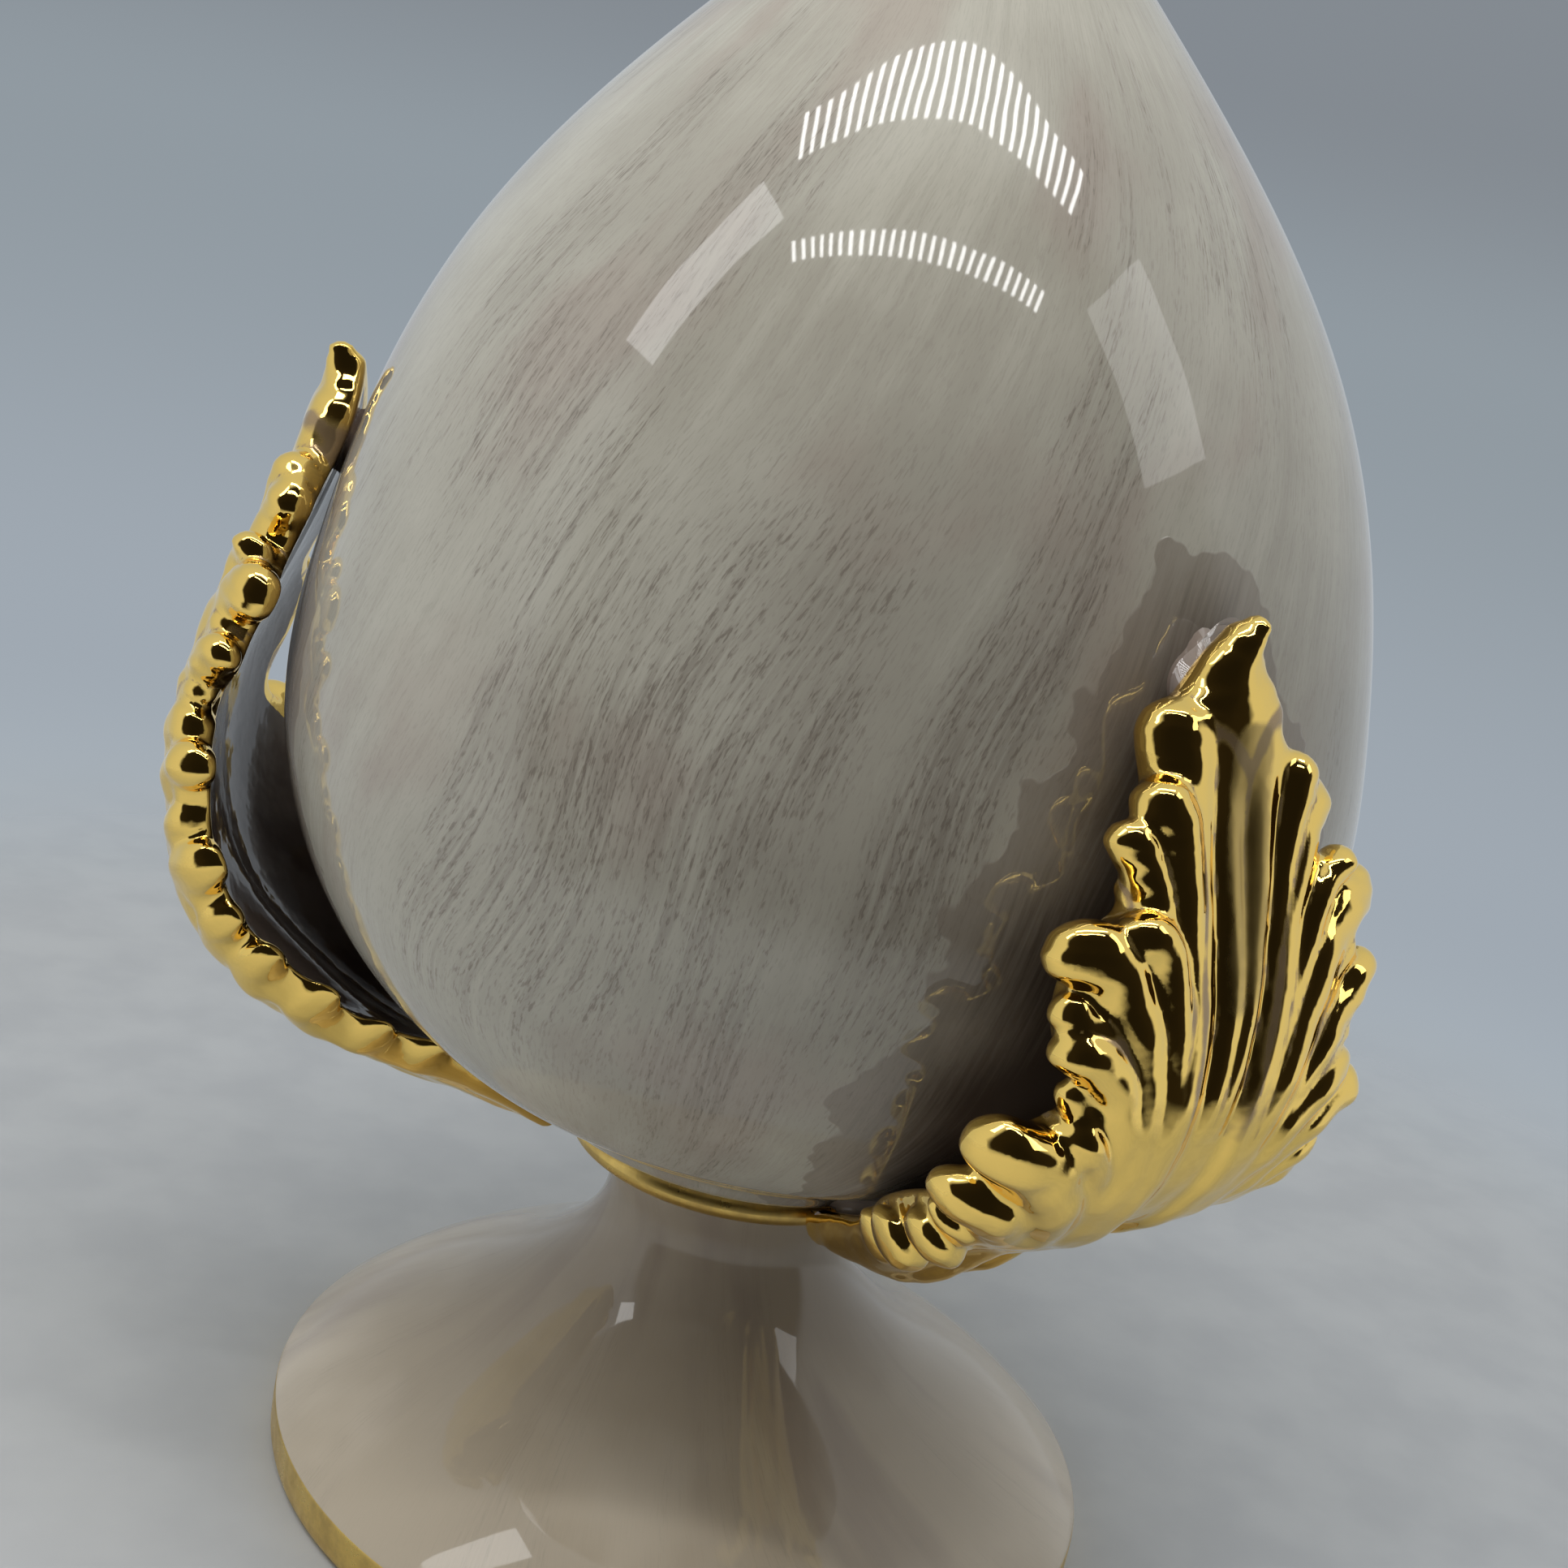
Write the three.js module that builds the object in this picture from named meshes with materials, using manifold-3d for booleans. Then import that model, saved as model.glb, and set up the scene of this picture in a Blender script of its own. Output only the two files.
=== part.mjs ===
// Glazed ceramic bud finial on a stemmed foot, dressed with three gilded acanthus leaves.
// Millimetres, +Z up. The origin is the centre of the foot's flat underside.
import * as THREE from 'three';
import { mergeVertices } from 'three/addons/utils/BufferGeometryUtils.js';
import Module from 'manifold-3d';

const wasm = await Module();
wasm.setup();

// ---- driving dimensions ----
const TOTAL_HEIGHT = 250;
const BUD_RADIUS = 74;
const FOOT_RADIUS = 61.9;
const STEM_WAIST_RADIUS = 18.1;
const NECK_HEIGHT = 54.1;
const CLAY_WALL = 5;
const JOINT_GAP = 0.3;
const FACET_ALLOWANCE = 0.6;

const BEAD_RING_RADIUS = 23.4;
const BEAD_RADIUS = 2.1;
const STEM_TOP_RADIUS = 20.9;
const BORE_RADIUS = 13;

const RIM_HEIGHT = 6;
const RIM_CHAMFER = 1.2;
const VENT_RADIUS = 2.5;
const VENT_OFFSET = 22;

const LEAF_COUNT = 3;
const FIRST_LEAF_ANGLE = -90;
const LEAF_THICKNESS = 4.6;
const ROOT_HALF_WIDTH = 6;
const ROOT_THICKNESS = 2.4;
const ROOT_TAPER = 16;
const RIDGE_HEIGHT = 2.2;
const LOBE_CURL = 1.7;
const MARGIN_THINNING = 0.55;
const ROOT_CUPPING = 0.06;
const TIP_CUPPING = 0.012;
const CUPPING_FADE = 45;
const TIP_LUG = { below: 12, halfLength: 5.5, halfWidth: 4.5 };
const ROOT_PAD = { along: 9, halfLength: 6.5, halfWidth: 6 };

const ROUND_SEGMENTS = 40;
const BUD_RINGS = 15;
const FOOT_RINGS = 12;
const CAVITY_RINGS = 8;
const SAMPLES_PER_LOBE = 4;
const LEAF_STEPS = 6;

// ---- small helpers ----
const smoothstep = THREE.MathUtils.smoothstep;
const lerp = THREE.MathUtils.lerp;

function points2(list) {
  return list.map(([x, y]) => new THREE.Vector2(x, y));
}

function smoothOutline(list, count) {
  return new THREE.SplineCurve(points2(list)).getPoints(count);
}

// The shell of revolution whose profile runs in the (radius, height) plane.
function turned(profile, segments = ROUND_SEGMENTS) {
  return new THREE.LatheGeometry(profile, segments).rotateX(Math.PI / 2);
}

// ---- solids for cutting one piece by its neighbours ----
function solidOf(geometry) {
  const bare = geometry.clone();
  bare.deleteAttribute('normal');
  bare.deleteAttribute('uv');
  const welded = mergeVertices(bare, 1e-4);
  return new wasm.Manifold(new wasm.Mesh({
    numProp: 3,
    vertProperties: new Float32Array(welded.attributes.position.array),
    triVerts: new Uint32Array(welded.index.array),
  }));
}

function geometryOf(solid) {
  const mesh = solid.getMesh();
  const geometry = new THREE.BufferGeometry();
  geometry.setAttribute('position', new THREE.BufferAttribute(mesh.vertProperties, 3));
  geometry.setIndex(new THREE.BufferAttribute(mesh.triVerts, 1));
  geometry.computeVertexNormals();
  return geometry;
}

function cutBy(geometry, cutters) {
  let solid = solidOf(geometry);
  for (const cutter of cutters) {
    solid = solid.subtract(solidOf(cutter));
  }
  return geometryOf(solid);
}

// ---- bud: hollow pear-shaped shell, pointed at the top, open below into the stem ----
const BUD_SIDE = [
  [27.4, 56.7], [33.7, 61.1], [45.5, 67.6], [55.9, 75.3], [68.7, 92.9], [BUD_RADIUS, 114],
  [72.1, 135.2], [67, 156.4], [57.9, 177.5], [42.9, 198.6], [25.5, 217.5], [12.2, 231.5],
  [5, 241.5], [1.8, 248],
];
const BUD_INSIDE = [
  [BORE_RADIUS, 60], [30, 65], [51, 78], [64, 95], [69, 114], [67, 135], [62, 155],
  [52.5, 175], [37.5, 195], [21, 212], [8, 226],
];
const COVE = [[STEM_TOP_RADIUS, NECK_HEIGHT + 0.2], [STEM_TOP_RADIUS, 55.4], [22.2, 56.5], [24.8, 56.5]];

function budGeometry() {
  const inside = smoothOutline(BUD_INSIDE, CAVITY_RINGS).reverse();
  const profile = [
    new THREE.Vector2(0, 232),
    ...inside,
    new THREE.Vector2(BORE_RADIUS, COVE[0][1]),
    ...points2(COVE),
    ...smoothOutline(BUD_SIDE, BUD_RINGS),
    new THREE.Vector2(0, TOTAL_HEIGHT),
  ];
  return turned(profile);
}

// The place on the bud's skin nearest to a point, moved clear of it by a gap.
const BUD_LINE = new THREE.SplineCurve(points2(BUD_SIDE));
const BUD_LINE_POINTS = 240;

function nearestOnBud(point, gap) {
  const here = new THREE.Vector2(Math.hypot(point.x, point.y), point.z);
  let best = { gap: Infinity, share: 0 };
  for (let i = 0; i <= BUD_LINE_POINTS; i += 1) {
    const share = i / BUD_LINE_POINTS;
    const distance = BUD_LINE.getPoint(share).distanceTo(here);
    if (distance < best.gap) {
      best = { gap: distance, share };
    }
  }
  const skin = BUD_LINE.getPoint(best.share);
  const run = BUD_LINE.getTangent(best.share);
  const radius = skin.x + run.y * gap;
  return new THREE.Vector3(
    (point.x / here.x) * radius,
    (point.y / here.x) * radius,
    skin.y - run.x * gap,
  );
}

// ---- foot and stem: one hollow thrown piece with a flat closed base and a firing vent ----
function footGeometry() {
  const top = NECK_HEIGHT - 0.1;
  const outside = [
    [STEM_TOP_RADIUS - 0.2, 51.6], [STEM_WAIST_RADIUS, 45.1], [19.6, 38.2], [24.7, 31.7],
    [30.6, 26.8], [38.4, 21.8], [48.5, 16.2], [57.2, 10.4], [FOOT_RADIUS - 0.3, RIM_HEIGHT + 0.6],
  ];
  const inside = [
    [BORE_RADIUS - 0.4, 45], [14.5, 37], [20, 29.5], [30, 22], [44, 13.5], [54, 7.5], [55.5, CLAY_WALL],
  ];
  const profile = [
    new THREE.Vector2(0, CLAY_WALL),
    ...smoothOutline(inside, CAVITY_RINGS).reverse(),
    new THREE.Vector2(BORE_RADIUS, top),
    new THREE.Vector2(STEM_TOP_RADIUS - 0.3, top),
    ...smoothOutline(outside, FOOT_RINGS),
    new THREE.Vector2(FOOT_RADIUS, RIM_HEIGHT),
    new THREE.Vector2(FOOT_RADIUS, RIM_CHAMFER),
    new THREE.Vector2(FOOT_RADIUS - RIM_CHAMFER, 0),
    new THREE.Vector2(0, 0),
  ];
  const vent = new THREE.CylinderGeometry(VENT_RADIUS, VENT_RADIUS, 3 * CLAY_WALL, 16);
  vent.rotateX(Math.PI / 2).translate(0, VENT_OFFSET, CLAY_WALL / 2);
  return cutBy(turned(profile.reverse()), [vent]);
}

// ---- neck bead: a round coil of clay that covers the joint ----
function beadGeometry(sides = 8) {
  const ring = [];
  for (let i = 0; i <= sides; i += 1) {
    const turn = (i / sides) * 2 * Math.PI;
    ring.push(new THREE.Vector2(
      BEAD_RING_RADIUS + BEAD_RADIUS * Math.cos(turn),
      NECK_HEIGHT + BEAD_RADIUS * Math.sin(turn),
    ));
  }
  ring[sides] = ring[0].clone();
  return turned(ring);
}

// ---- acanthus leaf ----
// The midrib lies in the (radius, height) plane; the leaf spreads either side of it.
const MIDRIB = new THREE.SplineCurve(points2([
  [27.2, 53.9], [36, 57.2], [46.3, 60.4], [57.4, 65], [67.6, 72.2], [78.8, 81.8], [85.1, 94.6], [85.8, 108],
  [83, 118.7], [79.2, 129], [76.3, 138], [74, 147], [74.8, 157.5],
]));
const LEAF_LENGTH = MIDRIB.getLength();

// Lobes from the tip down: how far up the leaf and out from the midrib the vein would reach,
// how much of the vein the lobe fills, and how much the notch below it fills.
const LOBES = [
  { up: LEAF_LENGTH, out: 0, fill: 1, notch: 0.9 },
  { up: 121, out: 13.5, fill: 1, notch: 0.87 },
  { up: 111, out: 21, fill: 1, notch: 0.84 },
  { up: 99, out: 25, fill: 1, notch: 0.84 },
  { up: 86, out: 25, fill: 1, notch: 0.74 },
  { up: 75, out: 25.5, fill: 0.94, notch: 0.8 },
  { up: 65, out: 25, fill: 1, notch: 0.8 },
  { up: 50, out: 22, fill: 1, notch: 0.7 },
  { up: 24, out: 15, fill: 1, notch: 0.6 },
];
const LAST_LOBE = LOBES.length - 1;
const LOBE_REACH = new THREE.SplineCurve([
  ...LOBES.map((lobe) => new THREE.Vector2(lobe.up, lobe.out)),
  new THREE.Vector2(10, 10),
]);

// Vein number n runs from 0 at the midrib to the last lobe, negative on the left side.
function veinEnd(n) {
  const place = LOBE_REACH.getPoint(Math.min(Math.abs(n) / (LAST_LOBE + 1), 1));
  return { up: place.x, out: Math.sign(n) * place.y };
}

function lobeShape(n) {
  const index = Math.min(Math.round(Math.abs(n)), LAST_LOBE);
  const across = Math.min(2 * Math.abs(Math.abs(n) - index), 1);
  const below = Math.abs(n) > index;
  const notch = index === 0 || below ? LOBES[index].notch : LOBES[index - 1].notch;
  return { crest: 1 - across ** 2.2, fill: lerp(LOBES[index].fill, notch, across ** 3.5) };
}

// Veins start close to the midrib and bend outwards; share is how far along the vein.
function veinPoint(n, share) {
  const end = veinEnd(n);
  const straight = lerp(0.55, 0.25, smoothstep(Math.abs(n), 0.5, 3));
  const spread = straight * share + (1 - straight) * share ** 3;
  const root = ROOT_HALF_WIDTH * (n / (LAST_LOBE + 0.5)) * (1 - share) ** 2;
  return { along: end.up * share, out: end.out * spread + root };
}

// A point of the leaf: out from the midrib, and raised from its middle surface.
function leafPoint(along, out, raised) {
  const share = THREE.MathUtils.clamp(along / LEAF_LENGTH, 0, 1);
  const rib = MIDRIB.getPointAt(share);
  const run = MIDRIB.getTangentAt(share);
  const cup = TIP_CUPPING + ROOT_CUPPING * Math.exp(-((along / CUPPING_FADE) ** 2));
  const depth = (1 - Math.cos(cup * out)) / cup;
  const lift = raised - depth;
  const before = Math.min(along, 0);
  return new THREE.Vector3(
    rib.x + run.x * before + run.y * lift,
    Math.sin(cup * out) / cup,
    rib.y + run.y * before - run.x * lift,
  );
}

function leafHalfThickness(along) {
  return lerp(ROOT_THICKNESS, LEAF_THICKNESS, smoothstep(along, 0, ROOT_TAPER)) / 2;
}

function leafGeometry() {
  const first = -(LAST_LOBE + 0.5);
  const columns = Math.round(-2 * first * SAMPLES_PER_LOBE);
  const positions = [];
  const index = [];
  const loop = 2 * LEAF_STEPS + 2;
  for (let c = 0; c <= columns; c += 1) {
    const n = first + c / SAMPLES_PER_LOBE;
    const { crest, fill } = lobeShape(n);
    const section = [];
    for (let s = 0; s <= LEAF_STEPS; s += 1) {
      const share = fill * (s / LEAF_STEPS);
      const { along, out } = veinPoint(n, share);
      const atMargin = s === LEAF_STEPS;
      const curl = LOBE_CURL * smoothstep(share, 0.65, 1) * (2 * crest - 0.7);
      const half = leafHalfThickness(along) * (atMargin ? MARGIN_THINNING : 1);
      const ridge = RIDGE_HEIGHT * smoothstep(share, 0.1, 0.75) * crest * (atMargin ? MARGIN_THINNING : 1);
      section.push([leafPoint(along, out, curl + half + ridge), leafPoint(along, out, curl - half)]);
    }
    const front = section.map((pair) => pair[0]);
    const back = section.map((pair) => pair[1]).reverse();
    for (const point of [...front, ...back]) {
      positions.push(point.x, point.y, point.z);
    }
  }
  const corner = (c, s) => c * loop + (s % loop);
  for (let c = 0; c < columns; c += 1) {
    for (let s = 0; s < loop; s += 1) {
      index.push(corner(c, s), corner(c + 1, s), corner(c + 1, s + 1));
      index.push(corner(c, s), corner(c + 1, s + 1), corner(c, s + 1));
    }
  }
  for (let s = 0; s < LEAF_STEPS; s += 1) {
    const mate = loop - 1 - s;
    for (const [c, turn] of [[0, 1], [columns, -1]]) {
      const quad = [corner(c, s), corner(c, s + 1), corner(c, mate - 1), corner(c, mate)];
      const [p, q, r, t] = turn > 0 ? quad : quad.reverse();
      index.push(p, q, r, p, r, t);
    }
  }
  const geometry = new THREE.BufferGeometry();
  geometry.setAttribute('position', new THREE.Float32BufferAttribute(positions, 3));
  geometry.setIndex(index);
  geometry.computeVertexNormals();
  return geometry;
}

// ---- clay joints: each fills an oval patch between a leaf's inner face and the bud ----
function jointGeometry({ along: middle, halfLength, halfWidth }) {
  const rings = 2;
  const sides = 12;
  const positions = [];
  const index = [];
  const addLayer = (place) => {
    for (let ring = 0; ring <= rings; ring += 1) {
      for (let side = 0; side < (ring === 0 ? 1 : sides); side += 1) {
        const turn = (side / sides) * 2 * Math.PI;
        const along = middle + halfLength * (ring / rings) * Math.cos(turn);
        const out = halfWidth * (ring / rings) * Math.sin(turn);
        const clear = leafHalfThickness(along) + JOINT_GAP + FACET_ALLOWANCE;
        const point = place(leafPoint(along, out, -clear));
        positions.push(point.x, point.y, point.z);
      }
    }
  };
  addLayer((point) => point);
  addLayer((point) => nearestOnBud(point, JOINT_GAP));
  const layer = 1 + rings * sides;
  const at = (top, ring, side) => top * layer + (ring === 0 ? 0 : 1 + (ring - 1) * sides + (side % sides));
  const face = (flip, a, b, c) => index.push(...(flip ? [a, b, c] : [a, c, b]));
  for (const top of [0, 1]) {
    for (let side = 0; side < sides; side += 1) {
      face(top, at(top, 0, 0), at(top, 1, side), at(top, 1, side + 1));
      for (let ring = 1; ring < rings; ring += 1) {
        face(top, at(top, ring, side), at(top, ring + 1, side), at(top, ring + 1, side + 1));
        face(top, at(top, ring, side), at(top, ring + 1, side + 1), at(top, ring, side + 1));
      }
    }
  }
  for (let side = 0; side < sides; side += 1) {
    face(0, at(0, rings, side), at(1, rings, side), at(1, rings, side + 1));
    face(0, at(0, rings, side), at(1, rings, side + 1), at(0, rings, side + 1));
  }
  const geometry = new THREE.BufferGeometry();
  geometry.setAttribute('position', new THREE.Float32BufferAttribute(positions, 3));
  geometry.setIndex(index);
  geometry.computeVertexNormals();
  return geometry;
}

// ---- materials ----
const glaze = { color: 0xc9c1b8, roughness: 0.12, metalness: 0 };
const paleGlaze = { color: 0xd5cac0, roughness: 0.15, metalness: 0 };
const lustre = { color: 0xd9a93a, roughness: 0.15, metalness: 1 };
const brownGlaze = { color: 0x8d7b70, roughness: 0.2, metalness: 0 };

function piece(name, geometry, finish, turnDegrees = 0) {
  const mesh = new THREE.Mesh(geometry, new THREE.MeshStandardMaterial(finish));
  mesh.name = name;
  mesh.rotation.z = THREE.MathUtils.degToRad(turnDegrees);
  return mesh;
}

// ---- assembly ----
const finial = new THREE.Group();
finial.add(piece('foot_and_stem', footGeometry(), paleGlaze));
finial.add(piece('neck_bead', beadGeometry(), lustre));
finial.add(piece('bud_shell', budGeometry(), glaze));
const leaf = leafGeometry();
const tipLug = jointGeometry({ ...TIP_LUG, along: LEAF_LENGTH - TIP_LUG.below });
const rootPad = jointGeometry(ROOT_PAD);
for (let i = 0; i < LEAF_COUNT; i += 1) {
  const angle = FIRST_LEAF_ANGLE + (i * 360) / LEAF_COUNT;
  finial.add(piece(`leaf_${i + 1}`, leaf, lustre, angle));
  finial.add(piece(`leaf_${i + 1}_tip_lug`, tipLug, brownGlaze, angle));
  finial.add(piece(`leaf_${i + 1}_root_pad`, rootPad, brownGlaze, angle));
}

export default finial;
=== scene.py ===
# A glazed ceramic bud finial with three gilded acanthus leaves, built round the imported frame.
import math

import bpy
import numpy as np
from mathutils import Matrix, Vector


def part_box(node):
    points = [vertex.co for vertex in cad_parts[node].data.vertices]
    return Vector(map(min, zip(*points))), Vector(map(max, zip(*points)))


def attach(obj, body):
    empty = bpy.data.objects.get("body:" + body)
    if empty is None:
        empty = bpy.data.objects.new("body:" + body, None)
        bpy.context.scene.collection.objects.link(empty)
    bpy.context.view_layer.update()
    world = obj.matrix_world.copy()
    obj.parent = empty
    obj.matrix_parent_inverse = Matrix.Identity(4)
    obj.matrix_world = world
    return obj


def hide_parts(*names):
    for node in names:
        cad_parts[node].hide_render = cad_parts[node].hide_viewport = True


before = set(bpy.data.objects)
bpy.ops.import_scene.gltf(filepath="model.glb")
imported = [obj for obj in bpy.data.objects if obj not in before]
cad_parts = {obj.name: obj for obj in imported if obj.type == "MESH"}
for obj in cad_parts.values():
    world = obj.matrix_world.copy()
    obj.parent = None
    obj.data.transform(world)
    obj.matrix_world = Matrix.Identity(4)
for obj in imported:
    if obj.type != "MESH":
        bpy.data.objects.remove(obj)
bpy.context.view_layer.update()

MM = 0.001

# ---- sizes read from the frame, in millimetres ----
BUD_LOW, BUD_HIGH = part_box("bud_shell")
FOOT_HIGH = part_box("foot_and_stem")[1]
BEAD_LOW, BEAD_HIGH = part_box("neck_bead")
BUD_RADIUS = round((BUD_HIGH.x - BUD_LOW.x) / 2 / MM, 1)
TOTAL_HEIGHT = BUD_HIGH.z / MM
FOOT_RADIUS = FOOT_HIGH.x / MM
BEAD_RADIUS = (BEAD_HIGH.z - BEAD_LOW.z) / 2 / MM
BEAD_RING_RADIUS = BEAD_HIGH.x / MM - BEAD_RADIUS
NECK_HEIGHT = (BEAD_HIGH.z + BEAD_LOW.z) / 2 / MM

# ---- the leaves' places and build, as in the frame ----
LEAF_ANGLES = (-90, 30, 150)
LEAF_THICKNESS = 4.6
ROOT_THICKNESS = 2.4
ROOT_TAPER = 16
ROOT_CUPPING = 0.06
TIP_CUPPING = 0.012
CUPPING_FADE = 45

# ---- the view: where the camera stands, in millimetres and degrees, and how it is held, in radians ----
CAMERA_BEARING = -125
CAMERA_DISTANCE = 289.7
CAMERA_HEIGHT = 187.2
CAMERA_TILT = 0.2658
CAMERA_PAN = 0.0133
CAMERA_ROLL = 0.2001
CAMERA_LENS = 48.4


def smoothstep(x, low, high):
    t = np.clip((x - low) / (high - low), 0, 1)
    return t * t * (3 - 2 * t)


def lerp(a, b, t):
    return a + (b - a) * t


class Spline:
    """A natural cubic spline through a few points, run from 0 to 1."""

    def __init__(self, points):
        self.points = np.array(points, float)
        steps = np.linalg.norm(np.diff(self.points, axis=0), axis=1)
        self.knots = np.concatenate([[0], np.cumsum(steps)])
        count = len(self.knots)
        matrix = np.eye(count)
        right = np.zeros((count, self.points.shape[1]))
        for i in range(1, count - 1):
            matrix[i, i - 1] = steps[i - 1]
            matrix[i, i] = 2 * (steps[i - 1] + steps[i])
            matrix[i, i + 1] = steps[i]
            slopes = np.diff(self.points[i - 1:i + 2], axis=0) / steps[i - 1:i + 1, None]
            right[i] = 6 * (slopes[1] - slopes[0])
        self.bends = np.linalg.solve(matrix, right)

    def __call__(self, share, slope=False):
        place = np.clip(share, 0, 1) * self.knots[-1]
        i = np.clip(np.searchsorted(self.knots, place, side="right") - 1, 0, len(self.knots) - 2)
        width = (self.knots[i + 1] - self.knots[i])[..., None]
        b = (place - self.knots[i])[..., None] / width
        a = 1 - b
        low, high = self.points[i], self.points[i + 1]
        bend_low, bend_high = self.bends[i], self.bends[i + 1]
        if slope:
            run = (high - low) / width
            return run + width / 6 * ((3 * b * b - 1) * bend_high - (3 * a * a - 1) * bend_low)
        value = a * low + b * high
        return value + width ** 2 / 6 * ((a ** 3 - a) * bend_low + (b ** 3 - b) * bend_high)


def make_object(name, points, faces, materials, smooth=True):
    """A mesh object from points in millimetres."""
    mesh = bpy.data.meshes.new(name)
    mesh.from_pydata((np.asarray(points) * MM).tolist(), [], faces)
    mesh.validate()
    mesh.polygons.foreach_set("use_smooth", [smooth] * len(mesh.polygons))
    for material in materials:
        mesh.materials.append(material)
    piece = bpy.data.objects.new(name, mesh)
    bpy.context.scene.collection.objects.link(piece)
    return piece


def add_mask(piece, name, values):
    layer = piece.data.attributes.new(name, "FLOAT", "POINT")
    layer.data.foreach_set("value", np.asarray(values, np.float32).ravel())


def turned(profile, segments):
    """Points and faces of a profile turned round Z. Profile points on the axis become single points."""
    turns = np.linspace(0, 2 * math.pi, segments, endpoint=False)
    points, rings = [], []
    for radius, height in profile:
        start = len(points)
        if radius < 1e-6:
            points.append((0, 0, height))
            rings.append([start] * segments)
            continue
        points.extend(zip(radius * np.cos(turns), radius * np.sin(turns), [height] * segments))
        rings.append(list(range(start, start + segments)))
    faces = []
    for low, high in zip(rings, rings[1:]):
        for i in range(segments):
            j = (i + 1) % segments
            corners = [low[i], low[j], high[j], high[i]]
            faces.append(tuple(dict.fromkeys(corners)))
    return np.array(points), [face for face in faces if len(face) > 2]


# ---- material building ----
class Shader:
    """Builds one node material; each method adds a node and gives back its output."""

    def __init__(self, name):
        self.material = bpy.data.materials.new(name)
        self.material.use_nodes = True
        self.nodes = self.material.node_tree.nodes
        self.links = self.material.node_tree.links
        self.surface = self.nodes["Principled BSDF"]

    def add(self, kind, inputs=None, output=0, **settings):
        node = self.nodes.new("ShaderNode" + kind)
        for key, value in settings.items():
            setattr(node, key, value)
        for key, value in (inputs or {}).items():
            self.feed(node.inputs[key], value)
        return node.outputs[output]

    def feed(self, socket, value):
        if isinstance(value, bpy.types.NodeSocket):
            self.links.new(value, socket)
        else:
            socket.default_value = value

    def maths(self, operation, a, b=0.0, clamp=False):
        return self.add("Math", {0: a, 1: b}, operation=operation, use_clamp=clamp)

    def vector(self, operation, a, b=(0, 0, 0)):
        return self.add("VectorMath", {0: a, 1: b}, operation=operation)

    def dot(self, a, b):
        return self.add("VectorMath", {0: a, 1: b}, output="Value", operation="DOT_PRODUCT")

    def height_of(self, place):
        return self.add("SeparateXYZ", {0: place}, output="Z")

    def mask(self, name):
        return self.add("Attribute", output="Fac", attribute_name=name)

    def place(self):
        return self.add("TexCoord", output="Object")

    def noise(self, vector, scale, detail=3.0, roughness=0.5):
        return self.add("TexNoise", {
            "Vector": vector, "Scale": scale, "Detail": detail, "Roughness": roughness,
        }, output="Fac")

    def ramp(self, value, low, high, to_low=0.0, to_high=1.0):
        return self.add("MapRange", {
            "Value": value, "From Min": low, "From Max": high, "To Min": to_low, "To Max": to_high,
        }, interpolation_type="SMOOTHSTEP")

    def mix(self, share, a, b):
        node = self.nodes.new("ShaderNodeMix")
        node.data_type = "RGBA"
        node.clamp_factor = True
        self.feed(node.inputs["Factor"], share)
        for key, value in (("A", a), ("B", b)):
            socket = [s for s in node.inputs if s.name == key and s.type == "RGBA"][0]
            self.feed(socket, value)
        return [s for s in node.outputs if s.type == "RGBA"][0]

    def bump(self, height, distance, strength):
        inputs = {"Height": height, "Distance": distance, "Strength": strength}
        return self.add("Bump", inputs, output="Normal")

    def finish(self, **sockets):
        for name, value in sockets.items():
            self.feed(self.surface.inputs[name.replace("_", " ")], value)
        return self.material


def colour(red, green, blue):
    return (red, green, blue, 1.0)


def brushed_place(s, lean):
    """A place on the turned form that keeps its value along slanted brush strokes."""
    place = s.place()
    flat = s.vector("MULTIPLY", place, (1, 1, 0))
    round_about = s.vector("NORMALIZE", flat)
    height = s.height_of(place)
    wander = s.noise(place, 14.0, 1.0)
    turn = s.maths("MULTIPLY", height, lean)
    turn = s.maths("ADD", turn, s.maths("MULTIPLY", wander, 0.35))
    turned_about = s.add("VectorRotate", {"Vector": round_about, "Angle": turn}, rotation_type="Z_AXIS")
    wide = s.vector("SCALE", turned_about)
    wide.node.inputs["Scale"].default_value = BUD_RADIUS * MM
    upright = s.add("CombineXYZ", {"Z": height})
    return s.vector("ADD", wide, upright)


def strokes(s, place, across, along, detail=3.0, roughness=0.55):
    """Noise drawn out along the brush strokes; both sizes are in millimetres."""
    stretched = s.vector("MULTIPLY", place, (1, 1, across / along))
    return s.noise(stretched, 1 / (across * MM), detail, roughness)


def add_sweeps(s, band, brush, height, medium, sweeps):
    """The band of dark glaze with broad sweeps of the brush added, each round one heading and one height."""
    heading = s.vector("NORMALIZE", s.vector("MULTIPLY", brush, (1, 1, 0)))
    for towards, half_width, middle_height, reach, depth in sweeps:
        angle = math.radians(towards)
        match = s.dot(heading, (math.cos(angle), math.sin(angle), 0))
        full, faded = math.cos(math.radians(half_width / 4)), math.cos(math.radians(half_width))
        beside = s.ramp(match, faded, full)
        above = s.maths("ABSOLUTE", s.maths("SUBTRACT", height, middle_height * MM))
        swept = s.maths("MULTIPLY", beside, s.ramp(above, reach * MM, 0.3 * reach * MM, 0.0, depth))
        band = s.maths("ADD", band, s.maths("MULTIPLY", swept, s.ramp(medium, 0.30, 0.60, 0.35, 1.0)))
    return band


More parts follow.
